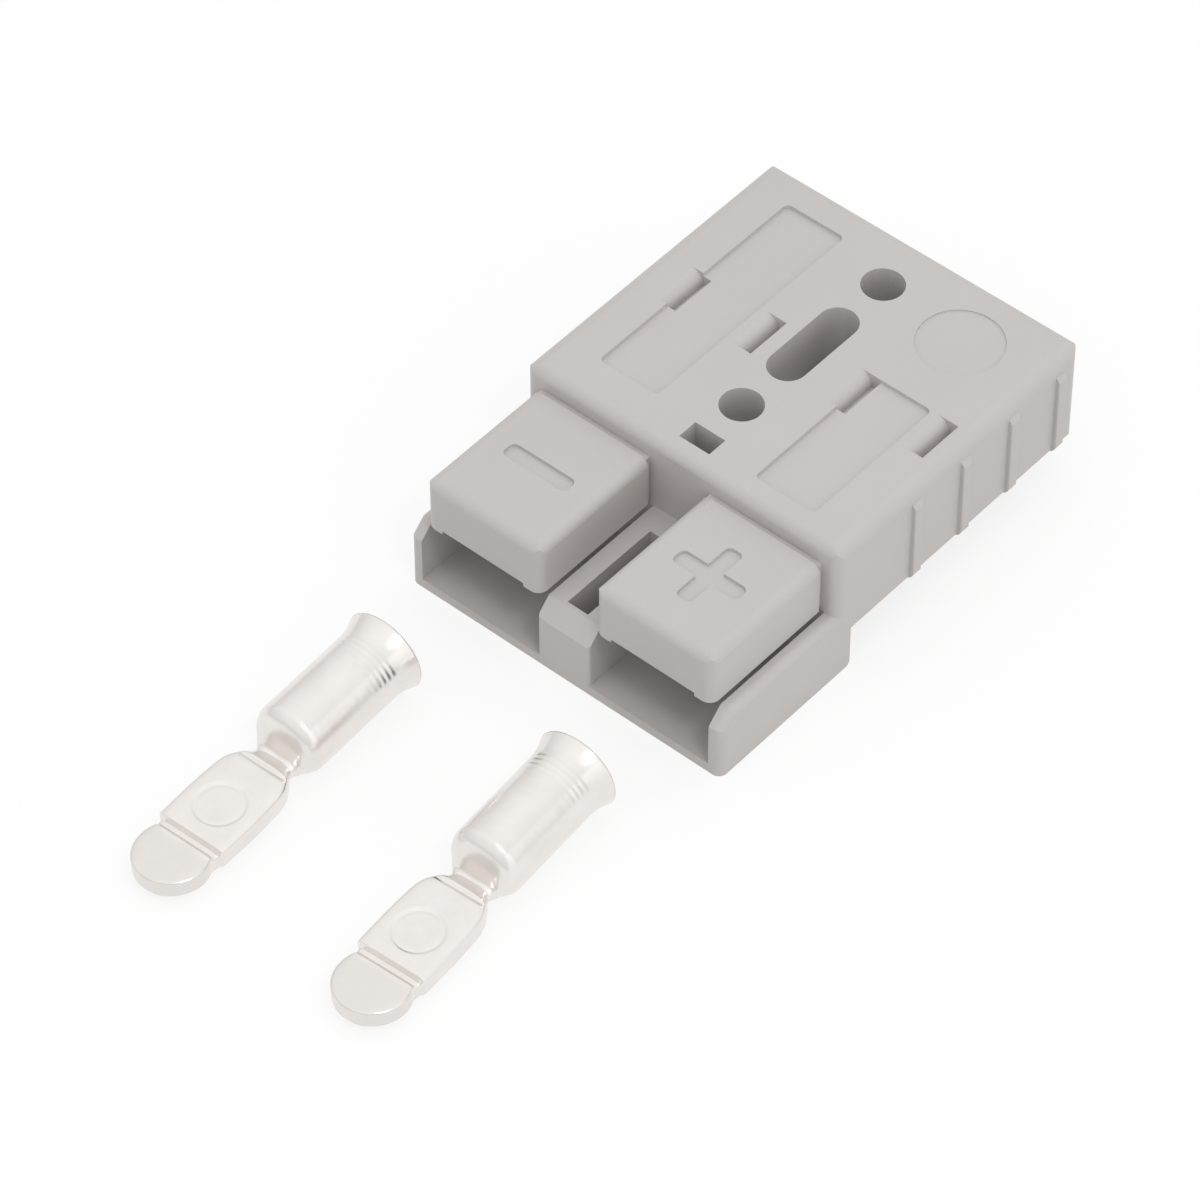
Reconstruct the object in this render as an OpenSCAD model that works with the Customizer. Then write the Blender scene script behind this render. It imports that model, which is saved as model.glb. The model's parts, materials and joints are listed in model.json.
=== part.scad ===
// Genderless two-pole power connector: one moulded housing, two leaf springs
// inside it, and the two crimp contacts lying in front of its mating end.
//
// Frame: the origin is midway between the two mounting holes, on the mating
// plane. +Y points to the cable end, +Z up. A second housing turned half a
// turn about the X axis meets this one on z = 0.

/* [Housing body] */
// Width across the flat sides, without the grip ribs
body_w = 36.6; // [35.6:0.2:40]
// Thickness of the body behind the mating end
body_t = 11.6; // [11.2:0.1:14]
// Mating plane to the top face, and to the bottom of the trough
half_h = 8.0; // [7.6:0.1:9]
// Mating front to the first mounting hole
front_to_hole = 24.45; // [23:0.1:27]
// Distance between the two mounting holes
hole_pitch = 20.1; // [18:0.1:24]
// Second mounting hole to the rear face
hole_to_rear = 6.05; // [5:0.1:9]
// Diameter of the mounting holes
hole_d = 4.2; // [3.5:0.1:4.6]
// Radius along the long top edges
side_round = 1.5; // [0.8:0.1:2]
// Radius of the short top edges, front and rear
end_round = 1.1; // [0.6:0.1:1.6]
// Radius of the underside's edges
under_round = 0.6; // [0.3:0.1:1]
// Radius of the upright rear corners
corner_round = 1.5; // [0.8:0.1:2.5]

/* [Trough] */
// Mating front to the body's front face, which is also the trough's depth
trough_depth = 15.9; // [14:0.1:18]
// Thickness of the wall behind the trough
trough_back = 2.1; // [1.6:0.1:3]
// Thickness of the trough's floor
trough_floor = 1.05; // [0.8:0.05:1.4]
// Thickness of the trough's side walls
trough_wall = 1.43; // [1.2:0.01:2]
// Width of the block between the two troughs
centre_w = 6.06; // [5:0.02:7]
// Drop of the trough's walls below the mating plane
wall_drop = 0.37; // [0.2:0.01:0.8]
// Lead-in chamfer at the front of the walls
wall_chamfer = 1.6; // [1:0.1:2.2]
// Radius of the walls' outer edges
wall_round = 0.9; // [0.5:0.1:1.2]
// Width of the pocket in the centre block
pocket_w = 2.4; // [1.6:0.1:3]
// Radius of the centre block's upright front edges
centre_round = 0.35; // [0.2:0.05:0.6]
// Mating front to the pocket
pocket_front = 2.0; // [1.8:0.1:4]
// Pocket to the body's front face
pocket_rear = 2.6; // [1.5:0.1:4]

/* [Hoods] */
// Setback of the hoods from the mating front
hood_set = 0.5; // [0.3:0.1:1.5]
// Drop of the hoods' tops below the body's top face
hood_drop = 2.0; // [1.5:0.1:2.4]
// Side clearance of a hood in the trough that it mates with
hood_clear = 0.15; // [0.1:0.01:0.3]
// Gap from the mating plane to the hoods' lower edges
hood_lip = 0.1; // [0.05:0.01:0.3]
// Further lift of the front wall's lower edge
hood_lift = 0.4; // [0.3:0.1:1]
// Thickness of the hoods' front wall
hood_front = 1.8; // [1.2:0.1:2.2]
// Thickness of the hoods' side walls
hood_side = 1.95; // [1.4:0.05:2.2]
// Thickness of the hoods' roof
hood_roof = 1.5; // [1.2:0.1:1.6]
// Radius of the hoods' outer edges
hood_round = 1.1; // [0.6:0.1:1.4]
// Length of the necked strip where a hood meets the body
neck_len = 0.6; // [0.4:0.1:1.2]
// Depth of that necked strip
neck_in = 0.35; // [0.2:0.05:0.5]

/* [Top face] */
// Width of the long slot between the mounting holes
slot_w = 3.92; // [3:0.02:4.4]
// Overall length of the long slot
slot_len = 11.1; // [9:0.1:12]
// Width of the small front window
window_w = 3.5; // [2.5:0.1:4]
// Length of the small front window
window_len = 2.25; // [1.5:0.05:2.6]
// Depth of the small front window
window_depth = 9.0; // [5:0.5:10]
// Body's front face to the small front window
window_front = 1.95; // [1.6:0.05:2.6]
// Width of the two sunk panels
panel_w = 6.85; // [6:0.05:8]
// Length of the left panel
left_panel_len = 26.6; // [22:0.1:28]
// Body's front face to the left panel
left_panel_front = 4.5; // [3:0.1:6]
// Length of the right panel
right_panel_len = 16.6; // [14:0.1:18]
// Body's front face to the right panel
right_panel_front = 2.5; // [2:0.1:5]
// Corner radius of the panels
panel_round = 0.6; // [0.3:0.1:1]
// Depth of the sunk panels
panel_depth = 0.4; // [0.2:0.05:0.6]
// Depth of the polarity marks
mark_depth = 0.35; // [0.15:0.05:0.5]
// Diameter of the round mark near the rear
disc_d = 8.4; // [6:0.2:9]
// Depth of the round mark near the rear
disc_depth = 0.15; // [0.1:0.05:0.4]
// Rear face to the middle of the round mark
disc_rear = 7.25; // [6:0.05:9]
// Length of the polarity marks' bars
bar_len = 7.5; // [5:0.1:9]
// Width of the polarity marks' bars
bar_w = 1.8; // [1:0.1:2.4]
// Width of each rolled recess beside the contacts
notch_w = 2.35; // [1.8:0.05:2.8]
// Length of each rolled recess
notch_len = 5.1; // [4:0.1:6]
// Depth of each rolled recess
notch_depth = 1.6; // [1.4:0.1:1.8]
// Radius of the rolled recesses' sloping side
notch_roll = 1.4; // [1:0.1:1.4]
// Body's front face to the rolled recesses
notch_front = 14.0; // [13:0.1:15]
// Middle of a pole to the right edge of its left-hand rolled recess
notch_near = 2.45; // [2.3:0.05:3]
// Middle of a pole to the right edge of its right-hand rolled recess
notch_far = 6.45; // [6.2:0.05:6.6]

/* [Grip ribs] */
// Number of ribs on each side
rib_count = 4; // [2:1:4]
// Distance from one rib to the next
rib_pitch = 6.9; // [5:0.1:7.4]
// Body's front face to the middle of the first rib
rib_front = 11.0; // [8:0.1:11.4]
// Width of a rib
rib_w = 1.3; // [1:0.1:2.4]
// How far a rib stands out near the top
rib_out = 0.4; // [0.3:0.05:0.7]
// Radius of a rib's front edge
rib_front_r = 0.15; // [0.1:0.05:0.3]
// Radius of a rib's rear edge
rib_rear_r = 0.35; // [0.1:0.05:0.4]
// Radius of a rib's lower end
rib_foot_r = 1.2; // [0.6:0.1:1.6]
// Lean of a rib, which makes it stand out further at the underside
rib_lean = 0.4; // [0:0.1:3]

/* [Contacts] */
// Outer diameter of the wire barrel
barrel_d = 7.3; // [7:0.1:7.6]
// Bore of the wire barrel
barrel_bore = 5.7; // [5:0.1:5.9]
// Outer diameter of the barrel's bell mouth
flare_d = 8.4; // [8.2:0.1:8.5]
// Opening of the bell mouth inside
mouth_d = 7.0; // [6.2:0.1:7.2]
// Length of the bell mouth's curve
flare_len = 2.4; // [1.5:0.1:3.5]
// Mouth to the end of the straight barrel
barrel_len = 12.5; // [12:0.1:15]
// Mouth to the blind end of the bore
bore_len = 11.7; // [10:0.1:11.9]
// Radius at the closed end of the barrel
barrel_end_r = 1.2; // [0.8:0.1:1.6]
// Radius at the blind end of the bore
bore_end_r = 0.3; // [0.2:0.1:0.8]
// Barrel's end to the middle of the neck
neck_at = 2.8; // [2.4:0.1:4]
// Width of the neck
neck_w = 4.2; // [3.6:0.1:5]
// Neck to the full width of the tongue
shoulder_len = 3.2; // [2.4:0.1:4]
// Length of the tongue's flat pad
pad_len = 7.5; // [6:0.1:9]
// Width of the tongue's pad
pad_w = 7.5; // [6:0.1:7.6]
// Thickness of the tongue's pad
pad_t = 2.4; // [2:0.1:2.6]
// Depth of the groove across the tongue, in front of the pad
groove_depth = 0.6; // [0.3:0.05:0.9]
// Drop of the nose's top below the pad
nose_drop = 0.2; // [0.1:0.05:0.4]
// Length of the waist between the groove and the nose
waist_len = 1.4; // [1:0.1:2]
// Width of the waist
waist_w = 6.6; // [5.6:0.1:7]
// Width of the round latching nose
nose_w = 7.4; // [6.4:0.1:7.5]
// Diameter of the shallow coined disc on the pad
coin_d = 4.6; // [3:0.1:5]
// Depth of the coined disc
coin_depth = 0.12; // [0.08:0.02:0.2]

/* [Leaf springs] */
// Thickness of the spring strip
spring_t = 0.5; // [0.3:0.05:0.6]
// Width of the springing part
spring_w = 6.4; // [5:0.1:7]
// Width of the rear tab, which sits on the housing's ledges
tab_w = 9.0; // [8.8:0.1:9.2]
// How far the spring bows down below the roof
spring_sag = 1.5; // [0.8:0.1:1.6]
// Drop of the latching nose at the spring's front
spring_hook = 1.9; // [1:0.1:2]
// Clearance round the spring's tab in its slot
spring_clear = 0.05; // [0.02:0.01:0.15]

/* [Fits] */
// Clearance round a contact in its chamber
contact_clear = 0.3; // [0.15:0.05:0.35]
// Depth of an inserted contact's mouth inside the cable entry
seat_depth = 14.7; // [14:0.1:16]
// Lead-in chamfer of the cable entries
entry_chamfer = 0.4; // [0.2:0.1:0.6]

/* [Contacts as laid out] */
// Left contact: distance of its mouth from the middle
left_lay_x = 11.7; // [9:0.1:14]
// Left contact: distance of its mouth from the mating front
left_lay_gap = 10.5; // [5:0.1:20]
// Left contact: turn on the table
left_lay_turn = 1.6; // [-10:0.1:10]
// Right contact: distance of its mouth from the middle
right_lay_x = 10.3; // [9:0.1:14]
// Right contact: distance of its mouth from the mating front
right_lay_gap = 9.8; // [5:0.1:20]
// Right contact: turn on the table
right_lay_turn = 3.2; // [-10:0.1:10]

/* [Hidden] */
$fn = 64;
eps = 0.01;

housing_grey = [0.76, 0.75, 0.73];
spring_steel = [0.70, 0.71, 0.72];
silver_plate = [0.92, 0.90, 0.88];

// Stations along Y
y_front = -front_to_hole - hole_pitch / 2;
y_body = y_front + trough_depth;
y_step = y_body + trough_back;
y_rear = hole_pitch / 2 + hole_to_rear;
y_hood = y_front + hood_set;
y_cavity = y_hood + hood_front;

// Heights
z_top = half_h;
z_under = half_h - body_t;
z_bottom = -half_h;
z_floor = z_bottom + trough_floor;
z_wall = -wall_drop;
z_hood = z_top - hood_drop;
z_roof = z_hood - hood_roof;
axis_z = z_top - body_t / 2;

// Across the housing
x_wall = body_w / 2 - trough_wall;
x_centre = centre_w / 2;
trough_w = x_wall - x_centre;
pole_x = (x_wall + x_centre) / 2;
hood_w = trough_w - 2 * hood_clear;
cavity_w = hood_w - 2 * hood_side;

// Contact chamber
chamber_r = flare_d / 2 + contact_clear;
y_chamber = y_rear - seat_depth - barrel_len - neck_at;
passage_w = pad_w + 2 * contact_clear;
slot_t = spring_t + 2 * spring_clear;

// ---- outlines -------------------------------------------------------------

// Rectangle w by h from the origin, with one radius for each corner:
// lower left, lower right, upper right, upper left
module outline(w, h, r) {
    places = [[0, 0, 0], [w, 0, 90], [w, h, 180], [0, h, 270]];
    difference() {
        square([w, h]);
        for (i = [0 : 3])
            if (r[i] > 0)
                translate([places[i][0], places[i][1]])
                    rotate(places[i][2])
                        corner_waste(r[i]);
    }
}

// What a radius takes off a square corner at the origin
module corner_waste(r) {
    difference() {
        translate([-1, -1]) square(r + 1);
        translate([r, r]) circle(r);
    }
}

// Block between two corners, rounded in plan, in front view and in side view.
// Each view gives its radii as lower left, lower right, upper right, upper left
module moulded_block(low, high, plan, front, side) {
    size = high - low;
    intersection() {
        translate(low)
            linear_extrude(size[2]) outline(size[0], size[1], plan);
        translate([low[0], high[1], low[2]])
            rotate([90, 0, 0])
                linear_extrude(size[1]) outline(size[0], size[2], front);
        translate(low)
            rotate([90, 0, 90])
                linear_extrude(size[0]) outline(size[1], size[2], side);
    }
}

// Box between two corners
module box(low, high) {
    translate(low) cube(high - low);
}

// ---- housing --------------------------------------------------------------

module body_block() {
    moulded_block([-body_w / 2, y_body, z_under], [body_w / 2, y_rear, z_top],
        [end_round, end_round, corner_round, corner_round],
        [under_round, under_round, side_round, side_round],
        [0, under_round, end_round, end_round]);
}

// Lower front block, whose walls slide between those of the other housing
module trough_block() {
    reach = 2 * trough_depth;
    intersection() {
        moulded_block([-body_w / 2, y_front, z_bottom], [body_w / 2, y_step, z_wall],
            [wall_round, wall_round, 0, 0],
            [0, 0, wall_round, wall_round],
            [0, under_round, 0, 0]);
        // everything under the slope of the chamfer, whose own edges are rounded too
        translate([-body_w / 2, y_front, z_wall - wall_chamfer])
            rotate([45, 0, 0])
                translate([0, reach, -reach])
                    rotate([90, 0, 0])
                        linear_extrude(2 * reach)
                            outline(body_w, reach, [0, 0, wall_round, wall_round]);
    }
}

// Hood over one trough, solid, with the necked strip at its root
module hood_block() {
    moulded_block([-hood_w / 2, y_hood, hood_lip], [hood_w / 2, y_body - neck_len, z_hood],
        [hood_round, hood_round, 0, 0],
        [0, 0, hood_round, hood_round],
        [0, 0, 0, hood_round]);
    box([-hood_w / 2 + neck_in, y_body - neck_len - eps, hood_lip],
        [hood_w / 2 - neck_in, y_body + eps, z_hood - neck_in]);
}

// One grip rib on the right side, leaning out towards the underside
module grip_rib(y) {
    sunk = 1;
    translate([body_w / 2, y, z_top - side_round])
        rotate([0, -rib_lean, 0])
            translate([-sunk, -rib_w / 2, -body_t])
                linear_extrude(body_t)
                    outline(rib_out + sunk, rib_w, [0, rib_front_r, rib_rear_r, 0]);
}

module grip_ribs() {
    reach = body_w / 2 + rib_out + body_t * tan(rib_lean);
    intersection() {
        for (side = [0, 1])
            mirror([side, 0, 0])
                for (i = [0 : rib_count - 1])
                    grip_rib(y_body + rib_front + i * rib_pitch);
        translate([-reach, y_rear, z_under])
            rotate([90, 0, 0])
                linear_extrude(y_rear - y_body)
                    outline(2 * reach, body_t - side_round,
                        [rib_foot_r, rib_foot_r, side_round, side_round]);
    }
}

// Mating spaces of one pole: the trough, the hood's inside and the raised lip
module mating_space() {
    box([-trough_w / 2, y_front - 1, z_floor], [trough_w / 2, y_body, hood_lip]);
    box([-cavity_w / 2, y_cavity, 0], [cavity_w / 2, y_body, z_roof]);
    box([-cavity_w / 2, y_front - 1, 0], [cavity_w / 2, y_cavity + eps, hood_lip + hood_lift]);
}

// Way of the contact from the cable entry to the hood, and the spring's ledges
module contact_chamber() {
    translate([0, y_rear + 1, axis_z])
        rotate([90, 0, 0])
            cylinder(h = y_rear + 1 - y_chamber, r = chamber_r);
    translate([0, y_rear - entry_chamfer, axis_z])
        rotate([-90, 0, 0])
            cylinder(h = entry_chamfer + eps, r1 = chamber_r,
                r2 = chamber_r + entry_chamfer + eps);
    box([-passage_w / 2, y_body - eps, -contact_clear],
        [passage_w / 2, y_chamber + 1, z_roof]);
    box([-tab_w / 2 - spring_clear, y_body - eps, z_roof - slot_t],
        [tab_w / 2 + spring_clear, y_chamber + 1, z_roof]);
}

// Rolled recess: straight on its right side, rolled in on its left
module rolled_recess(x_right) {
    translate([x_right - notch_w, y_body + notch_front + notch_len, z_top - notch_depth])
        rotate([90, 0, 0])
            linear_extrude(notch_len)
                difference() {
                    square([notch_w, notch_depth + 1]);
                    square([notch_roll, notch_depth - notch_roll]);
                    translate([0, notch_depth - notch_roll]) circle(notch_roll);
                }
}

module rolled_recesses() {
    for (side = [-1, 1]) {
        rolled_recess(side * pole_x - notch_near);
        rolled_recess(side * pole_x + notch_far);
    }
}

// Sunk panel on the top face, centred on one pole
module sunk_panel(x, y, len) {
    translate([x - panel_w / 2, y, z_top - panel_depth])
        linear_extrude(panel_depth + 1)
            outline(panel_w, len, [panel_round, panel_round, panel_round, panel_round]);
}

// Bar of a polarity mark with rounded ends
module mark_bar() {
    r = bar_w / 2;
    outline_r = 0.35 * bar_w;
    translate([-bar_len / 2, -r, z_hood - mark_depth])
        linear_extrude(mark_depth + 1)
            outline(bar_len, bar_w, [outline_r, outline_r, outline_r, outline_r]);
}

module polarity_marks() {
    y_mark = (y_hood + y_body) / 2;
    translate([-pole_x, y_mark, 0]) mark_bar();
    translate([pole_x, y_mark, 0]) mark_bar();
    translate([pole_x, y_mark, 0]) rotate(90) mark_bar();
}

module top_face_recesses() {
    sunk_panel(-pole_x, y_body + left_panel_front, left_panel_len);
    sunk_panel(pole_x, y_body + right_panel_front, right_panel_len);
    translate([pole_x, y_rear - disc_rear, z_top - disc_depth])
        cylinder(h = disc_depth + 1, d = disc_d);
    polarity_marks();
}

// Rounds the centre block's two upright front edges
module centre_edges() {
    for (side = [0, 1])
        mirror([side, 0, 0])
            translate([x_centre, y_front, z_floor])
                rotate(90)
                    linear_extrude(half_h) corner_waste(centre_round);
}

module through_openings() {
    for (end = [-1, 1])
        translate([0, end * hole_pitch / 2, z_under - 1])
            cylinder(h = body_t + 2, d = hole_d);
    for (end = [-1, 1])
        translate([0, end * (slot_len - slot_w) / 2, z_under - 1])
            cylinder(h = body_t + 2, d = slot_w);
    box([-slot_w / 2, -(slot_len - slot_w) / 2, z_under - 1],
        [slot_w / 2, (slot_len - slot_w) / 2, z_top + 1]);
    box([-window_w / 2, y_body + window_front, z_top - window_depth],
        [window_w / 2, y_body + window_front + window_len, z_top + 1]);
}

module housing() {
    color(housing_grey)
        difference() {
            union() {
                body_block();
                trough_block();
                grip_ribs();
                for (side = [-1, 1])
                    translate([side * pole_x, 0, 0]) hood_block();
            }
            for (side = [-1, 1])
                translate([side * pole_x, 0, 0]) {
                    mating_space();
                    contact_chamber();
                }
            box([-pocket_w / 2, y_front + pocket_front, z_floor],
                [pocket_w / 2, y_body - pocket_rear, z_wall + 1]);
            centre_edges();
            rolled_recesses();
            top_face_recesses();
            through_openings();
        }
}

// ---- leaf springs ---------------------------------------------------------

// Bowed strip in side view: a chord from y0 to y1 along the top face z,
// bowing down by sag, as the difference of two circles
module bowed_strip(y0, y1, z, sag) {
    half = (y1 - y0) / 2;
    r = (half * half + sag * sag) / (2 * sag);
    intersection() {
        translate([y0, z - sag - spring_t]) square([y1 - y0, sag + spring_t]);
        translate([(y0 + y1) / 2, z - sag + r])
            difference() {
                circle(r + spring_t, $fn = 256);
                circle(r, $fn = 256);
            }
    }
}

module leaf_spring(x) {
    z_seat = z_roof - spring_clear;
    y_tab = y_body - 2.5;
    y_toe = y_cavity + contact_clear;
    y_bow = y_toe + 1.2;
    color(spring_steel)
        translate([x, 0, 0]) {
            box([-tab_w / 2, y_body - 1.5, z_seat - spring_t],
                [tab_w / 2, y_chamber - 0.2, z_seat]);
            box([-spring_w / 2, y_tab - eps, z_seat - spring_t],
                [spring_w / 2, y_body, z_seat]);
            translate([-spring_w / 2, 0, 0])
                rotate([90, 0, 90])
                    linear_extrude(spring_w)
                        bowed_strip(y_bow, y_tab, z_seat, spring_sag);
            box([-spring_w / 2, y_toe, z_seat - spring_t],
                [spring_w / 2, y_bow + eps, z_seat]);
            box([-spring_w / 2, y_toe, z_seat - spring_hook],
                [spring_w / 2, y_toe + spring_t, z_seat]);
        }
}

module spring_left() { leaf_spring(-pole_x); }
module spring_right() { leaf_spring(pole_x); }

// ---- crimp contacts -------------------------------------------------------
// Own frame: the barrel's axis is the Y axis, its mouth is at y = 0 and the
// tongue points to -Y, with its mating face down at z = -axis_z.

// Round bar with a bell mouth at y = 0 and a rounded far end, as a revolve
module flared_bar(r, mouth_r, len, curve_len, end_r) {
    rise = mouth_r - r;
    curve_r = (curve_len * curve_len + rise * rise) / (2 * rise);
    rotate([90, 0, 0])
        rotate_extrude() {
            difference() {
                square([r, len]);
                translate([r, len]) rotate(180) corner_waste(end_r);
            }
            difference() {
                square([mouth_r, curve_len]);
                translate([r + curve_r, curve_len]) circle(curve_r, $fn = 256);
            }
        }
}

face_z = -axis_z;
pad_top = face_z + pad_t;
groove_top = pad_top - groove_depth;
nose_top = pad_top - nose_drop;
y_end = -barrel_len;
y_neck = y_end - neck_at;
y_wide = y_neck - shoulder_len;
y_stepped = y_wide - pad_len;
y_waist = y_stepped - waist_len;
nose_r = nose_w / 2;
nose_from = -acos(waist_w / nose_w);
y_nose = y_waist + nose_r * sin(nose_from);
core_r = barrel_d / 2 - 0.4;

// Stations of the formed tongue: y, half width, top, bottom and squareness
// of the section, which is a superellipse
stations = [
    [y_end + 1.6, core_r, core_r, -core_r, 2.0],
    [y_end + 0.5, core_r, core_r, -core_r, 2.0],
    [y_neck, neck_w / 2, pad_top - 0.1, face_z + 0.1, 2.8],
    [(y_neck + y_wide) / 2, pad_w / 2 - 0.7, pad_top, face_z, 3.6],
    [y_wide, pad_w / 2 - 0.15, pad_top, face_z, 4.2],
    [y_wide - pad_len / 2, pad_w / 2, pad_top, face_z, 4.5],
    [y_stepped, pad_w / 2 - 0.05, pad_top, face_z, 4.5],
    [y_stepped - 0.35, waist_w / 2 + 0.05, groove_top, face_z, 4.2],
    [y_waist + 0.5, waist_w / 2, groove_top, face_z, 4.2],
    [y_waist, waist_w / 2, nose_top, face_z, 4.2]
];
rings_between = [1, 8, 4, 3, 2, 2, 1, 1, 2];
nose_rings = 11;
nose_until = 85;
ring_points = 40;

// Eased value between two, for t from 0 to 1
function ease(a, b, t) = a + (b - a) * t * t * (3 - 2 * t);
function power(v, p) = sign(v) * pow(abs(v), p);

// Every ring's y, half width, top, bottom and squareness
ring_list = concat(
    [for (i = [0 : len(stations) - 2])
        for (k = [0 : rings_between[i] - 1])
            let (t = k / rings_between[i], a = stations[i], b = stations[i + 1])
                [a[0] + (b[0] - a[0]) * t, ease(a[1], b[1], t), ease(a[2], b[2], t),
                 ease(a[3], b[3], t), ease(a[4], b[4], t)]],
    // the nose is round in plan and thins towards its tip
    [for (k = [0 : nose_rings])
        let (turn = nose_from + (nose_until - nose_from) * k / nose_rings,
             thin = pow(max(sin(turn), 0), 5))
            [y_nose - nose_r * sin(turn), nose_r * cos(turn),
             nose_top - 0.6 * thin, face_z + 0.5 * thin, 4.2 - thin]]);

// Points of one ring: a superellipse between its bottom and top
function ring(s) =
    let (half = (s[2] - s[3]) / 2, mid = (s[2] + s[3]) / 2, p = 2 / s[4])
        [for (k = [0 : ring_points - 1])
            let (a = 360 * k / ring_points)
                [s[1] * power(cos(a), p), s[0], mid + half * power(sin(a), p)]];

module formed_tongue() {
    rings = len(ring_list);
    points = [for (s = ring_list) for (q = ring(s)) q];
    last = (rings - 1) * ring_points;
    polyhedron(points,
        concat(
            [[for (k = [0 : ring_points - 1]) k]],
            [for (i = [0 : rings - 2]) for (k = [0 : ring_points - 1])
                let (a = i * ring_points + k, b = i * ring_points + (k + 1) % ring_points)
                    [a, a + ring_points, b + ring_points, b]],
            [[for (k = [ring_points - 1 : -1 : 0]) last + k]]));
}

module contact() {
    color(silver_plate)
        difference() {
            union() {
                flared_bar(barrel_d / 2, flare_d / 2, barrel_len, flare_len, barrel_end_r);
                formed_tongue();
            }
            translate([0, eps, 0])
                flared_bar(barrel_bore / 2, mouth_d / 2,
                    bore_len, flare_len, bore_end_r);
            translate([0, y_wide - pad_len / 2, pad_top - coin_depth])
                cylinder(h = 1, d = coin_d);
        }
}

// Lays a contact on the table, resting on its bell mouth and barrel
module laid(x, gap, turn) {
    tilt = atan2((flare_d - barrel_d) / 2, barrel_len);
    translate([x, y_front - gap, z_bottom])
        rotate(turn)
            rotate([tilt, 0, 0])
                translate([0, 0, flare_d / 2])
                    children();
}

module contact_left() { laid(-left_lay_x, left_lay_gap, left_lay_turn) contact(); }
module contact_right() { laid(right_lay_x, right_lay_gap, right_lay_turn) contact(); }

housing();
spring_left();
spring_right();
contact_left();
contact_right();
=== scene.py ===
"""Looks of a genderless two-pole power connector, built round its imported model."""

import json
import logging
import math
from dataclasses import dataclass, field
from enum import Enum
from typing import Any, Dict, List, Optional, Sequence, Tuple, Union

import bmesh
import bpy
import numpy as np
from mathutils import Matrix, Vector


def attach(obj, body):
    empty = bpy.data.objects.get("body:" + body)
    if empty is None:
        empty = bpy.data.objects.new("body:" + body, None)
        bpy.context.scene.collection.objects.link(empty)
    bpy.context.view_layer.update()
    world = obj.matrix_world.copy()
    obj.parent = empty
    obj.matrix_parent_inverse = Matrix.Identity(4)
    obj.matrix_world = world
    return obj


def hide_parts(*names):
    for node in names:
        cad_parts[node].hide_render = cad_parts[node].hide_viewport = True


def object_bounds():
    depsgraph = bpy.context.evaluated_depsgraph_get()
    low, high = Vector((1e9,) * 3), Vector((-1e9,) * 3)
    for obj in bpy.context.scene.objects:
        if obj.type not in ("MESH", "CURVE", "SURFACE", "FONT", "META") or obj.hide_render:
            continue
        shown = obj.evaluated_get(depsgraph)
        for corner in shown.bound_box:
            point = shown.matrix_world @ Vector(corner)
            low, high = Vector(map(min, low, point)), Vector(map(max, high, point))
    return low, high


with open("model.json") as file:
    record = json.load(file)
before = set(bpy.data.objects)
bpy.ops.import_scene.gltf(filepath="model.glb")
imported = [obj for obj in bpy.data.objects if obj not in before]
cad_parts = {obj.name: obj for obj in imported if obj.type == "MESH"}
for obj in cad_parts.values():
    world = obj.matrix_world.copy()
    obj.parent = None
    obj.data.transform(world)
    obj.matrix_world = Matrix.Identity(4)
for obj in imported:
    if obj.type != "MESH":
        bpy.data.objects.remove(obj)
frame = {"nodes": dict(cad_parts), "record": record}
CAD_BOX = [list(corner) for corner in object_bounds()]

MM = 0.001
WHITE = (1.0, 1.0, 1.0, 1.0)
# point attribute that marks where the plate is duller: the contact's nose, from the waist to the
# tip
DULLING = "dulling"
LOG = logging.getLogger("connector")
Colour = Tuple[float, float, float]
Knots = Sequence[Tuple[float, float]]


# ---- shader maths ----------------------------------------------------------


class Socket:
    """An output of a shader node that works in Python expressions."""

    def __init__(self, graph: "Graph", out: Optional[bpy.types.NodeSocket]) -> None:
        """Wraps one output.

        Args:
            graph: the graph that new Math nodes go into.
            out: the output that is wrapped, or None for a node without one.
        """
        self.graph = graph
        self.out = out

    def _math(self, operation: str, *values: Any) -> "Socket":
        """Adds a Math node on the given values and returns its result."""
        return self.graph.add("ShaderNodeMath", {"operation": operation}, dict(enumerate(values)))

    def __add__(self, other: Any) -> "Socket":
        """Sum."""
        return self._math("ADD", self, other)

    __radd__ = __add__

    def __sub__(self, other: Any) -> "Socket":
        """Difference."""
        return self._math("SUBTRACT", self, other)

    def __rsub__(self, other: Any) -> "Socket":
        """Difference, this one taken from a number."""
        return self._math("SUBTRACT", other, self)

    def __mul__(self, other: Any) -> "Socket":
        """Product."""
        return self._math("MULTIPLY", self, other)

    __rmul__ = __mul__

    def clipped(self) -> "Socket":
        """The value kept between 0 and 1."""
        return self._math("MINIMUM", self.at_least(0.0), 1.0)

    def at_least(self, other: Any) -> "Socket":
        """The larger of two values."""
        return self._math("MAXIMUM", self, other)


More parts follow.
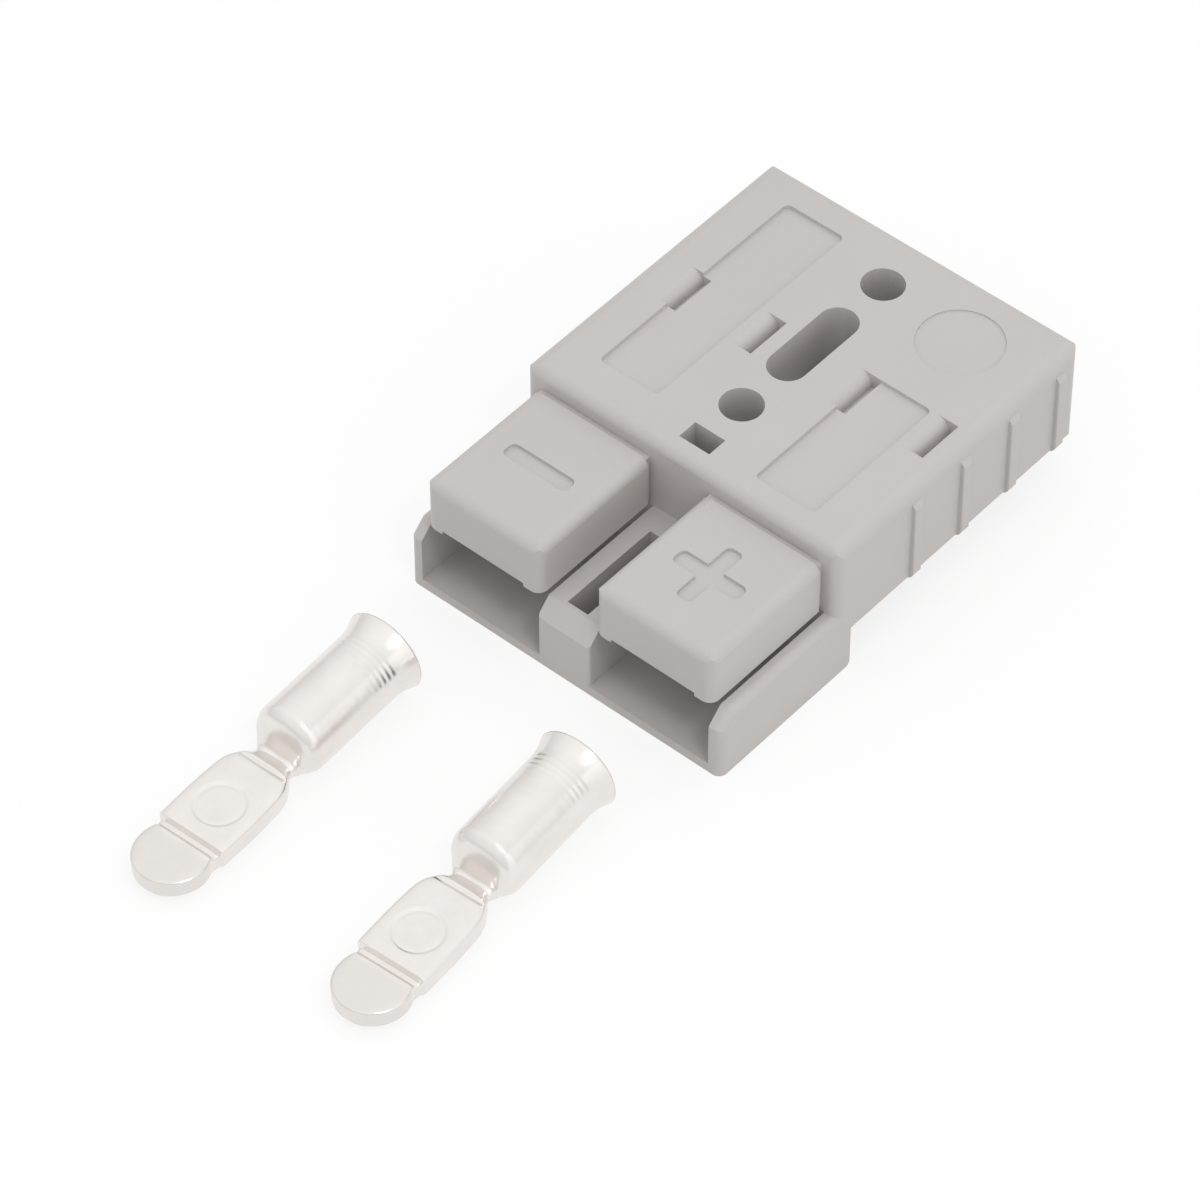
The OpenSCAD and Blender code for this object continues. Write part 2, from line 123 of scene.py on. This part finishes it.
class Graph:
    """A material's or a world's node tree, built from expressions."""

    def __init__(self, owner: Union[bpy.types.Material, bpy.types.World]) -> None:
        """Empties the owner's tree.

        Args:
            owner: the material or world that the graph belongs to.
        """
        owner.use_nodes = True
        self.tree = owner.node_tree
        self.tree.nodes.clear()

    def add(
        self,
        kind: str,
        settings: Optional[Dict[str, Any]] = None,
        inputs: Optional[Dict[Any, Any]] = None,
        out: Union[int, str] = 0,
    ) -> Socket:
        """Makes any node.

        Args:
            kind: the node's type name.
            settings: attributes that are set first.
            inputs: values or sockets by input name or number.
            out: the output that is returned.

        Returns:
            The chosen output, wrapped.
        """
        node = self.tree.nodes.new(kind)
        for name, value in (settings or {}).items():
            setattr(node, name, value)
        for name, value in (inputs or {}).items():
            if isinstance(value, Socket):
                self.tree.links.new(value.out, node.inputs[name])
            else:
                node.inputs[name].default_value = value
        return Socket(self, node.outputs[out] if node.outputs else None)

    def place(self) -> Socket:
        """Object coordinates, in metres."""
        return self.add("ShaderNodeTexCoord", out="Object")

    def noise(
        self, vector: Socket, size_mm: float, detail: float = 2.0, roughness: float = 0.5
    ) -> Socket:
        """Cloudy noise.

        Args:
            vector: the coordinates that it follows, in metres.
            size_mm: the size of its clouds.
            detail: number of finer octaves.
            roughness: weight of the finer octaves.

        Returns:
            Values round 0.5.
        """
        scale = 1.0 / (size_mm * MM)
        inputs = {"Vector": vector, "Scale": scale, "Detail": detail, "Roughness": roughness}
        return self.add("ShaderNodeTexNoise", {"noise_dimensions": "3D"}, inputs)

    def tint(self, factor: Any, first: Colour, second: Colour) -> Socket:
        """A colour between two, by a factor from 0 to 1."""
        inputs = {0: factor, 6: (*first, 1.0), 7: (*second, 1.0)}
        return self.add("ShaderNodeMix", {"data_type": "RGBA"}, inputs, out=2)

    def bump(self, height: Socket, depth_mm: float, below: Optional[Socket] = None) -> Socket:
        """A bumped normal.

        Args:
            height: heights from 0 to 1.
            depth_mm: what a height of 1 stands for.
            below: a bump that this one lies on.

        Returns:
            The normal.
        """
        inputs: Dict[Any, Any] = {"Height": height, "Distance": depth_mm * MM, "Strength": 1.0}
        if below is not None:
            inputs["Normal"] = below
        return self.add("ShaderNodeBump", None, inputs)

    def rays(self, *kinds: str) -> Socket:
        """1 for rays of any of the named kinds and 0 for the others."""
        found = [self.add("ShaderNodeLightPath", out=f"Is {kind} Ray") for kind in kinds]
        any_of_them = found[0]
        for ray in found[1:]:
            any_of_them = any_of_them.at_least(ray)
        return any_of_them

    def surface(self, shader: Socket) -> None:
        """Ends a material with a shader."""
        self.add("ShaderNodeOutputMaterial", None, {"Surface": shader})

    def skin(self, inputs: Dict[str, Any]) -> None:
        """Ends a material with a Principled shader on the given values or sockets."""
        self.surface(self.add("ShaderNodeBsdfPrincipled", None, inputs))


# ---- finishes --------------------------------------------------------------


@dataclass(frozen=True)
class MouldedPlastic:
    """Grey moulded polycarbonate with a fine, even grain."""

    name: str = "moulded_plastic"
    light: Colour = (0.590, 0.560, 0.541)
    dark: Colour = (0.560, 0.530, 0.512)
    rough: float = 0.37
    rough_spread: float = 0.1
    cloud_mm: float = 9.0
    specks_per_cloud: float = 14.0
    speck_share: float = 0.3
    flow_mm: float = 3.0
    flow_depth_mm: float = 0.02
    grain_mm: float = 0.16
    grain_depth_mm: float = 0.010

    def material(self) -> bpy.types.Material:
        """Builds the finish."""
        made = bpy.data.materials.new(self.name)
        g = Graph(made)
        where = g.place()
        clouds = g.noise(where, self.cloud_mm, detail=3.0)
        speck = g.noise(where, self.cloud_mm / self.specks_per_cloud)
        grain = g.noise(where, self.grain_mm, detail=1.0)
        flow = g.noise(where, self.flow_mm)
        shade = ((1.0 - self.speck_share) * clouds + self.speck_share * speck).clipped()
        g.skin({
            "Base Color": g.tint(shade, self.dark, self.light),
            "Roughness": self.rough + self.rough_spread * speck,
            "IOR": 1.5,
            "Normal": g.bump(grain, self.grain_depth_mm, g.bump(flow, self.flow_depth_mm)),
        })
        return made


@dataclass(frozen=True)
class SilverPlate:
    """Silver plate on copper, bright, with handling marks and duller over the contact's nose."""

    name: str = "silver_plate"
    bright: Colour = (0.88, 0.845, 0.82)
    dull: Colour = (0.77, 0.735, 0.705)
    rough: float = 0.16
    rough_spread: float = 0.14
    # how much duller the plate is over the contact's nose
    dulling: float = 0.5
    tarnish_mm: float = 2.6
    spot_mm: float = 0.5
    spot_depth_mm: float = 0.006
    ripple_mm: float = 0.9
    ripple_depth_mm: float = 0.012

    def material(self) -> bpy.types.Material:
        """Builds the finish."""
        made = bpy.data.materials.new(self.name)
        g = Graph(made)
        where = g.place()
        # duller over the nose: the contact's point attribute lowers the polish there
        dulled = g.add("ShaderNodeAttribute", {"attribute_name": DULLING}, out="Fac")
        clouds = g.noise(where, self.tarnish_mm, detail=4.0, roughness=0.6)
        spots = g.noise(where, self.spot_mm, detail=3.0)
        ripple = g.noise(where, self.ripple_mm)
        polish = (clouds - self.dulling * dulled).clipped()
        g.skin({
            "Base Color": g.tint(polish, self.dull, self.bright),
            "Metallic": 1.0,
            "Roughness": self.rough + self.rough_spread * spots,
            "Normal": g.bump(spots, self.spot_depth_mm, g.bump(ripple, self.ripple_depth_mm)),
        })
        return made


@dataclass(frozen=True)
class SpringSteel:
    """Rolled stainless strip with faint lines along its length."""

    name: str = "spring_steel"
    colour: Colour = (0.62, 0.62, 0.63)
    shade: Colour = (0.50, 0.50, 0.52)
    rough: float = 0.28
    rough_spread: float = 0.12
    line_mm: float = 0.25
    line_squeeze: float = 0.06
    line_depth_mm: float = 0.003

    def material(self) -> bpy.types.Material:
        """Builds the finish."""
        made = bpy.data.materials.new(self.name)
        g = Graph(made)
        squeeze = (1.0, self.line_squeeze, 1.0)
        along = g.add("ShaderNodeMapping", None, {"Vector": g.place(), "Scale": squeeze})
        lines = g.noise(along, self.line_mm, detail=3.0)
        g.skin({
            "Base Color": g.tint(lines, self.shade, self.colour),
            "Metallic": 1.0,
            "Roughness": self.rough + self.rough_spread * lines,
            "Normal": g.bump(lines, self.line_depth_mm),
        })
        return made


@dataclass(frozen=True)
class StudioWhite:
    """White studio floor that keeps the object's shadow."""

    name: str = "studio_white"
    paint: Colour = (0.74, 0.74, 0.74)
    glow: float = 0.7
    brightness: float = 1.12

    def material(self) -> bpy.types.Material:
        """Builds the finish."""
        made = bpy.data.materials.new(self.name)
        g = Graph(made)
        seen = g.rays("Camera", "Glossy", "Transmission")
        matt = g.add("ShaderNodeBsdfDiffuse", None, {"Color": (*self.paint, 1.0)})
        white = g.add("ShaderNodeEmission", None, {"Color": WHITE, "Strength": self.brightness})
        g.surface(g.add("ShaderNodeMixShader", None, {0: seen * self.glow, 1: matt, 2: white}))
        return made


# ---- meshes ----------------------------------------------------------------


def mesh_object(name: str, points: np.ndarray, faces: List[Sequence[int]]) -> bpy.types.Object:
    """Makes a smooth mesh object at the origin.

    Args:
        name: the object's name.
        points: corner places in metres, one row each.
        faces: corner numbers of each face.

    Returns:
        The new object, linked to the scene.
    """
    mesh = bpy.data.meshes.new(name)
    mesh.from_pydata(points.tolist(), [], faces)
    mesh.polygons.foreach_set("use_smooth", np.ones(len(mesh.polygons), dtype=bool))
    mesh.validate()
    mesh.update()
    made = bpy.data.objects.new(name, mesh)
    bpy.context.scene.collection.objects.link(made)
    return made


def outwards(obj: bpy.types.Object) -> None:
    """Turns every face of a closed mesh to point outwards."""
    shape = bmesh.new()
    shape.from_mesh(obj.data)
    bmesh.ops.recalc_face_normals(shape, faces=shape.faces)
    shape.to_mesh(obj.data)
    shape.free()


def dress(node: bpy.types.Object, finish: bpy.types.Material) -> bpy.types.Object:
    """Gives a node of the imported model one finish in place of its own."""
    node.data.materials.clear()
    node.data.materials.append(finish)
    return node


def tube_faces(rings: int, around: int) -> np.ndarray:
    """Quads of a grid of rings that closes round, one row of four corners each."""
    i, k = np.meshgrid(np.arange(rings - 1), np.arange(around), indexing="ij")
    a = i * around + k
    b = i * around + (k + 1) % around
    return np.stack([a, b, b + around, a + around], axis=-1).reshape(-1, 4)


def fan(middle: int, ring: np.ndarray) -> List[Tuple[int, int, int]]:
    """Triangles from a middle point to each side of a ring."""
    return [(middle, int(a), int(b)) for a, b in zip(ring, np.roll(ring, -1))]


def bell(x: np.ndarray, width: float) -> np.ndarray:
    """A smooth hump of height 1 at 0, which is exp(-(x / width) ** 2)."""
    return np.exp(-((x / width) ** 2))


def eased(at: np.ndarray, knots: Knots) -> np.ndarray:
    """Smooth values through known ones.

    A cubic Hermite curve runs through the knots, with the slope at each one taken from its
    neighbours and limited so that the curve never swings past them.

    Args:
        at: places where values are wanted.
        knots: pairs of place and value, in rising order of place.

    Returns:
        One value for each place.
    """
    x, v = np.array(knots, float).T
    step = np.diff(x)
    rise = np.diff(v) / step
    slope = np.zeros_like(v)
    same = rise[:-1] * rise[1:] > 0
    mean = 2 * rise[:-1] * rise[1:] / np.where(same, rise[:-1] + rise[1:], 1.0)
    slope[1:-1] = np.where(same, mean, 0.0)
    k = np.clip(np.searchsorted(x, at) - 1, 0, len(step) - 1)
    t = np.clip((at - x[k]) / step[k], 0.0, 1.0)
    h = step[k]
    return (
        v[k] * (1 + 2 * t) * (1 - t) ** 2
        + slope[k] * h * t * (1 - t) ** 2
        + v[k + 1] * t**2 * (3 - 2 * t)
        + slope[k + 1] * h * t**2 * (t - 1)
    )


# ---- crimp contacts --------------------------------------------------------


@dataclass
class CrimpContact:
    """One formed contact: a bell-mouthed barrel pinched into a flat tongue.

    Its own frame has the barrel's axis along Y, the mouth at y = 0 and the tongue towards -Y.
    Sizes are in millimetres, and every place along it is a distance from the mouth.
    """

    side: str
    # barrel
    barrel_d: float = 7.3
    barrel_bore: float = 5.7
    flare_d: float = 8.4
    mouth_d: float = 7.0
    flare_len: float = 2.4
    bore_len: float = 11.7
    bore_end_r: float = 0.8
    barrel_len: float = 12.5
    mount_at: float = 7.0
    # tongue
    neck_at: float = 15.3
    neck_w: float = 4.2
    wide_at: float = 18.5
    pad_w: float = 7.5
    pad_t: float = 2.4
    step_at: float = 26.0
    waist_at: float = 27.2
    waist_w: float = 6.6
    groove_depth: float = 0.6
    nose_w: float = 7.2
    nose_drop: float = 0.2
    tip_lift: float = 0.3
    face_z: float = -2.2
    edge: float = 0.35
    flat_square: float = 8.0
    # marks of forming
    ripple_at: float = 3.3
    ripple_reach: float = 1.1
    ripple_pitch: float = 0.62
    ripple_depth: float = 0.010
    coin_d: float = 4.6
    coin_depth: float = 0.10
    coin_wall: float = 0.05
    coin_rim_w: float = 0.15
    coin_rim_depth: float = 0.09
    cross_after_neck: float = 1.35
    cross_w: float = 0.22
    cross_depth: float = 0.22
    cross_reach: float = 2.9
    pinch_before_neck: float = 0.5
    pinch_len: float = 0.6
    pinch_w: float = 1.5
    pinch_depth: float = 0.35
    # how far past the waist the plate goes from bright to its duller nose
    dulling_len: float = 0.5
    around: int = 200
    finish: SilverPlate = field(default_factory=SilverPlate)

    def axes(self) -> Tuple[np.ndarray, np.ndarray]:
        """The contact's own axes and the place of its mouth in the frame.

        Returns:
            A 3 by 3 array whose rows are the X, Y and Z directions, and the mouth's middle.
        """
        mounts = {m["name"]: m for m in frame["record"]["mounts"]}
        bore = mounts[f"{self.side}_wire_barrel"]
        y = np.array(bore["axis"], float)
        y /= np.linalg.norm(y)
        x = np.cross(y, (0.0, 0.0, 1.0))
        x /= np.linalg.norm(x)
        z = np.cross(x, y)
        return np.stack([x, y, z]), np.array(bore["pos_m"], float) + y * self.mount_at * MM

    def places(self) -> np.ndarray:
        """Distances from the mouth at which the outside gets a ring, up to the waist.

        They are evenly spaced within each stretch: flare, ripples, barrel, neck, pad and groove.
        """
        stretches = (
            (0.0, 14),
            (1.5, 50),
            (5.5, 10),
            (self.barrel_len - 0.8, 64),
            (self.neck_at + 2.4, 84),
            (self.step_at - 0.1, 28),
        )
        ends = [start for start, _ in stretches[1:]] + [self.waist_at]
        return np.concatenate([
            np.linspace(start, end, count, endpoint=False)
            for (start, count), end in zip(stretches, ends)
        ])

    def stations(self) -> Dict[str, np.ndarray]:
        """Half width, top, bottom and squareness of the outside along the contact."""
        r, low = self.barrel_d / 2, self.face_z
        top = low + self.pad_t
        groove = top - self.groove_depth
        pad, slim = self.pad_w / 2, self.waist_w / 2
        end, neck, wide = self.barrel_len, self.neck_at, self.wide_at
        step, waist = self.step_at, self.waist_at
        d = self.places()
        half = eased(d, [
            (0, r), (end, r), (end + 0.9, 0.94 * r), (end + 1.8, 0.74 * r),
            (neck, self.neck_w / 2), (neck + 1.0, pad - 1.0), (neck + 2.1, pad - 0.4),
            (wide, pad - 0.15), ((wide + step) / 2, pad), (step, pad - 0.05),
            (step + 0.4, slim + 0.05), (waist, slim),
        ])
        high = eased(d, [
            (0, r), (end + 0.1, r), (end + 1.0, 0.86 * r), (end + 1.7, 0.48 * r),
            (end + 2.2, 0.1), (neck, -0.15), (neck + 1.2, top), (step, top),
            (step + 0.35, groove), (waist - 0.5, groove), (waist, top - self.nose_drop),
        ])
        under = eased(d, [
            (0, -r), (end - 0.1, -r), (end + 1.2, -0.85 * r), (neck, low + 0.1),
            (neck + 1.2, low), (waist, low),
        ])
        square = eased(d, [
            (0, 2.0), (end + 1.7, 2.05), (neck, 2.8), (neck + 1.5, 5.0),
            (wide, self.flat_square), (waist, self.flat_square),
        ])
        flare = (self.flare_d - self.barrel_d) / 2 * np.clip(1 - d / self.flare_len, 0, 1) ** 2
        ripple = self.ripple_depth * np.sin(2 * math.pi * d / self.ripple_pitch)
        grown = flare + ripple * bell(d - self.ripple_at, self.ripple_reach)
        return {
            "d": d,
            "half": half + grown,
            "top": high + grown,
            "low": under - grown,
            "square": square,
        }

    def nose(self) -> Dict[str, np.ndarray]:
        """The same for the latching nose, which is round in plan with a rounded rim."""
        r = self.nose_w / 2
        start = -math.acos(self.waist_w / self.nose_w)
        turn = np.linspace(start, 0.499 * math.pi, 34)
        inwards = np.clip((r * np.sin(turn) - r + self.edge) / self.edge, 0, 1)
        rim = self.edge * (1 - np.sqrt(1 - inwards**2))
        return {
            "d": self.waist_at + r * (np.sin(turn) - math.sin(start)),
            "half": r * np.cos(turn),
            "top": self.face_z + self.pad_t - self.nose_drop - rim,
            "low": self.face_z + self.tip_lift * np.clip(np.sin(turn), 0, 1) + rim,
            "square": np.full(len(turn), self.flat_square),
        }

    def angles(self) -> np.ndarray:
        """Angles of a ring's points, closer together where a square section has its corners."""
        even = np.linspace(0, 2 * math.pi, self.around, endpoint=False)[None, :]
        return even + 0.15 * np.sin(4 * even)

    def outside(self) -> np.ndarray:
        """Points of the outside, ring by ring from the mouth to the tip.

        Each ring is a superellipse, |x / half| ** n + |z / rise| ** n = 1, met along rays from
        its middle.
        """
        tongue, nose = self.stations(), self.nose()
        s = {key: np.concatenate([tongue[key], nose[key]])[:, None] for key in tongue}
        angle = self.angles()
        across, up = np.cos(angle), np.sin(angle)
        ray = (np.abs(across) ** s["square"] + np.abs(up) ** s["square"]) ** (-1 / s["square"])
        middle = (s["top"] + s["low"]) / 2
        rise = (s["top"] - s["low"]) / 2
        x = s["half"] * ray * across
        z = middle + rise * ray * up
        return np.stack([x, np.broadcast_to(-s["d"], x.shape), z], axis=-1)

    def inside(self) -> np.ndarray:
        """Points of the bore, ring by ring from its blind end to the mouth's rim.

        The blind end is flat with a rounded edge, a quarter of a circle, and the mouth opens
        with the square of the distance from where the flare starts.
        """
        r, end_r = self.barrel_bore / 2, self.bore_end_r
        turn = np.linspace(0.25, 1, 7) * math.pi / 2
        flare = np.linspace(self.flare_len, 0.0, 10)
        straight = np.linspace(self.bore_len - 1.5 * end_r, self.flare_len, 8, endpoint=False)
        d = np.concatenate([
            [self.bore_len, self.bore_len],
            self.bore_len - end_r * (1 - np.cos(turn)),
            straight,
            flare,
        ])
        radius = np.concatenate([
            [0.02, r * 0.5],
            r - end_r * (1 - np.sin(turn)),
            np.full(len(straight), r),
            r + (self.mouth_d / 2 - r) * (1 - flare / self.flare_len) ** 2,
        ])
        angle = self.angles()
        x = radius[:, None] * np.cos(angle)
        z = radius[:, None] * np.sin(angle)
        return np.stack([x, np.broadcast_to(-d[:, None], x.shape), z], axis=-1)

    def rim(self) -> np.ndarray:
        """Points of the rounded rim between the bore and the outside: half an ellipse."""
        inner, outer = self.mouth_d / 2, self.flare_d / 2
        turn = np.linspace(math.pi, 0, 8)[1:-1, None]
        half = (outer - inner) / 2
        radius = (inner + outer) / 2 + half * np.cos(turn)
        angle = self.angles()
        y = np.broadcast_to(half * 0.4 * (np.sin(turn) - 1), (len(turn), self.around))
        return np.stack([radius * np.cos(angle), y, radius * np.sin(angle)], axis=-1)

    def relief(self, points: np.ndarray) -> np.ndarray:
        """Sinks the coined round, the pinch and the cross mark into the outside.

        The coined round falls off as a logistic step at its edge. The others are bell-shaped.

        Args:
            points: the outside's points, ring by ring.

        Returns:
            The same points with their heights changed on the upper side.
        """
        x, d, z = points[..., 0], -points[..., 1], points[..., 2]
        upper = np.clip((z - self.face_z - 1.4) / 0.5, 0, 1)
        past_edge = np.hypot(x, d - (self.wide_at + self.step_at) / 2) - self.coin_d / 2
        coin = self.coin_depth / (1 + np.exp(past_edge / self.coin_wall))
        coin = coin + self.coin_rim_depth * bell(past_edge, self.coin_rim_w)
        cross = self.cross_depth * bell(d - self.neck_at - self.cross_after_neck, self.cross_w)
        cross = cross * np.clip(1 - (x / self.cross_reach) ** 4, 0, 1)
        pinch = self.pinch_depth * bell(d - self.neck_at + self.pinch_before_neck, self.pinch_len)
        pinch = pinch * bell(x, self.pinch_w)
        points = points.copy()
        points[..., 2] = z - upper * (coin + cross + pinch)
        return points

    def build(self) -> bpy.types.Object:
        """Builds, places and dresses the contact.

        Returns:
            The finished piece.
        """
        rings = np.concatenate([self.inside(), self.rim(), self.relief(self.outside())])
        flat = rings.reshape(-1, 3)
        blind_end, tip = rings[0].mean(axis=0), rings[-1].mean(axis=0)
        points = np.concatenate([flat, [blind_end, tip]])
        faces = [tuple(quad) for quad in tube_faces(len(rings), self.around)]
        ring = np.arange(self.around)
        faces += fan(len(flat), ring)
        faces += fan(len(flat) + 1, len(flat) - self.around + ring)
        turn, mouth = self.axes()
        made = mesh_object(f"crimp_contact_{self.side}", points * MM @ turn + mouth, faces)
        outwards(made)
        # the plate turns duller from the waist to the nose tip, full after this length
        dulled = np.clip((-points[:, 1] - self.waist_at) / self.dulling_len, 0, 1)
        made.data.attributes.new(DULLING, "FLOAT", "POINT").data.foreach_set("value", dulled)
        made.data.materials.append(self.finish.material())
        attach(made, "root")
        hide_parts(f"contact_{self.side}")
        return made


# ---- housing and springs ---------------------------------------------------


@dataclass
class Housing:
    """The moulded housing, dressed in its plastic."""

    finish: MouldedPlastic = field(default_factory=MouldedPlastic)

    def build(self) -> bpy.types.Object:
        """Dresses the housing's node."""
        return dress(frame["nodes"]["housing"], self.finish.material())


@dataclass
class LeafSprings:
    """The two leaf springs in the hoods' roofs."""

    finish: SpringSteel = field(default_factory=SpringSteel)

    def build(self) -> List[bpy.types.Object]:
        """Dresses both springs' nodes."""
        steel = self.finish.material()
        return [dress(frame["nodes"][name], steel) for name in ("spring_left", "spring_right")]


# ---- stage -----------------------------------------------------------------


class LampRole(Enum):
    """What each lamp is for."""

    KEY = "key"
    TOP = "top"
    SIDE = "side"


@dataclass(frozen=True)
class Lamp:
    """A square softbox that looks at the object's middle."""

    role: LampRole
    towards: Tuple[float, float, float]
    distance: float
    size: float
    power: float
    mirrored: bool = True

    def build(self, aim: Vector) -> bpy.types.Object:
        """Places the lamp.

        Args:
            aim: the point that it looks at.

        Returns:
            The lamp.
        """
        data = bpy.data.lights.new(f"lamp_{self.role.value}", "AREA")
        data.size = self.size
        data.energy = self.power
        made = bpy.data.objects.new(data.name, data)
        way = Vector(self.towards).normalized()
        made.location = aim + way * self.distance
        made.rotation_mode = "QUATERNION"
        made.rotation_quaternion = (-way).to_track_quat("-Z", "Y")
        made.visible_glossy = self.mirrored
        bpy.context.scene.collection.objects.link(made)
        return made


@dataclass
class Studio:
    """Floor, surroundings, lamps and camera, in metres and degrees."""

    azimuth: float = 40.756
    elevation: float = 47.750
    distance: float = 0.5612
    lens: float = 188.81
    sensor: float = 36.0
    aim_offset_mm: Tuple[float, float, float] = (-0.136, 1.56, -2.03)
    floor_size: float = 6.0
    floor_gap_mm: float = 0.02
    ambient: float = 0.75
    horizon: float = 0.76
    zenith: float = 1.11
    lamps: Tuple[Lamp, ...] = (
        Lamp(LampRole.KEY, (0.50, -0.21, 0.84), 0.60, 0.10, 0.35),
        Lamp(LampRole.TOP, (0.05, 0.05, 1.0), 0.70, 0.60, 0.75, mirrored=False),
        Lamp(LampRole.SIDE, (1.0, 0.05, 0.25), 0.80, 0.80, 0.50),
    )

    def aim(self) -> Vector:
        """The point that the camera looks at, from the middle of the object's box."""
        low, high = (Vector(c) for c in CAD_BOX)
        return (low + high) / 2 + Vector(self.aim_offset_mm) * MM

    def floor(self) -> bpy.types.Object:
        """A flat floor under the object's lowest point."""
        half = self.floor_size / 2
        z = CAD_BOX[0][2] - self.floor_gap_mm * MM
        corners = np.array([[-half, -half, z], [half, -half, z], [half, half, z], [-half, half, z]])
        made = mesh_object("floor", corners, [(0, 1, 2, 3)])
        made.data.materials.append(StudioWhite().material())
        return made

    def surroundings(self) -> None:
        """White where it is seen, a soft light on matt faces, and darker low down in mirrors."""
        world = bpy.data.worlds.new("studio")
        bpy.context.scene.world = world
        g = Graph(world)
        way = g.add("ShaderNodeTexCoord", out="Generated")
        height = g.add("ShaderNodeSeparateXYZ", None, {"Vector": way}, out="Z").clipped()
        mirrored = self.horizon + (self.zenith - self.horizon) * height
        seen, glossy = g.rays("Camera", "Transmission"), g.rays("Glossy")
        strength = self.ambient + seen * (1.0 - self.ambient) + glossy * (mirrored - self.ambient)
        sky = g.add("ShaderNodeBackground", None, {"Color": WHITE, "Strength": strength})
        g.add("ShaderNodeOutputWorld", None, {"Surface": sky})

    def camera(self) -> bpy.types.Object:
        """A long-lens camera at the object's three-quarter view."""
        data = bpy.data.cameras.new("camera")
        data.lens = self.lens
        data.sensor_width = self.sensor
        data.clip_start, data.clip_end = 0.01, 50.0
        made = bpy.data.objects.new("camera", data)
        a, e = math.radians(self.azimuth), math.radians(self.elevation)
        back = Vector((math.sin(a) * math.cos(e), -math.cos(a) * math.cos(e), math.sin(e)))
        made.location = self.aim() + back * self.distance
        made.rotation_mode = "QUATERNION"
        made.rotation_quaternion = (-back).to_track_quat("-Z", "Y")
        bpy.context.scene.collection.objects.link(made)
        bpy.context.scene.camera = made
        return made

    def build(self) -> None:
        """Sets up everything that isn't the object."""
        bpy.context.scene.view_settings.view_transform = "Standard"
        self.floor()
        self.surroundings()
        self.camera()
        for lamp in self.lamps:
            lamp.build(self.aim())


def main() -> None:
    """Builds the object and its studio in order."""
    logging.basicConfig(level=logging.INFO, format="%(name)s: %(message)s")
    Studio().build()
    LOG.info("housing: %s", Housing().build().name)
    for piece in LeafSprings().build():
        LOG.info("spring: %s", piece.name)
    for side in ("left", "right"):
        piece = CrimpContact(side).build()
        LOG.info("contact: %s, %d faces", piece.name, len(piece.data.polygons))


if __name__ == "__main__":
    main()
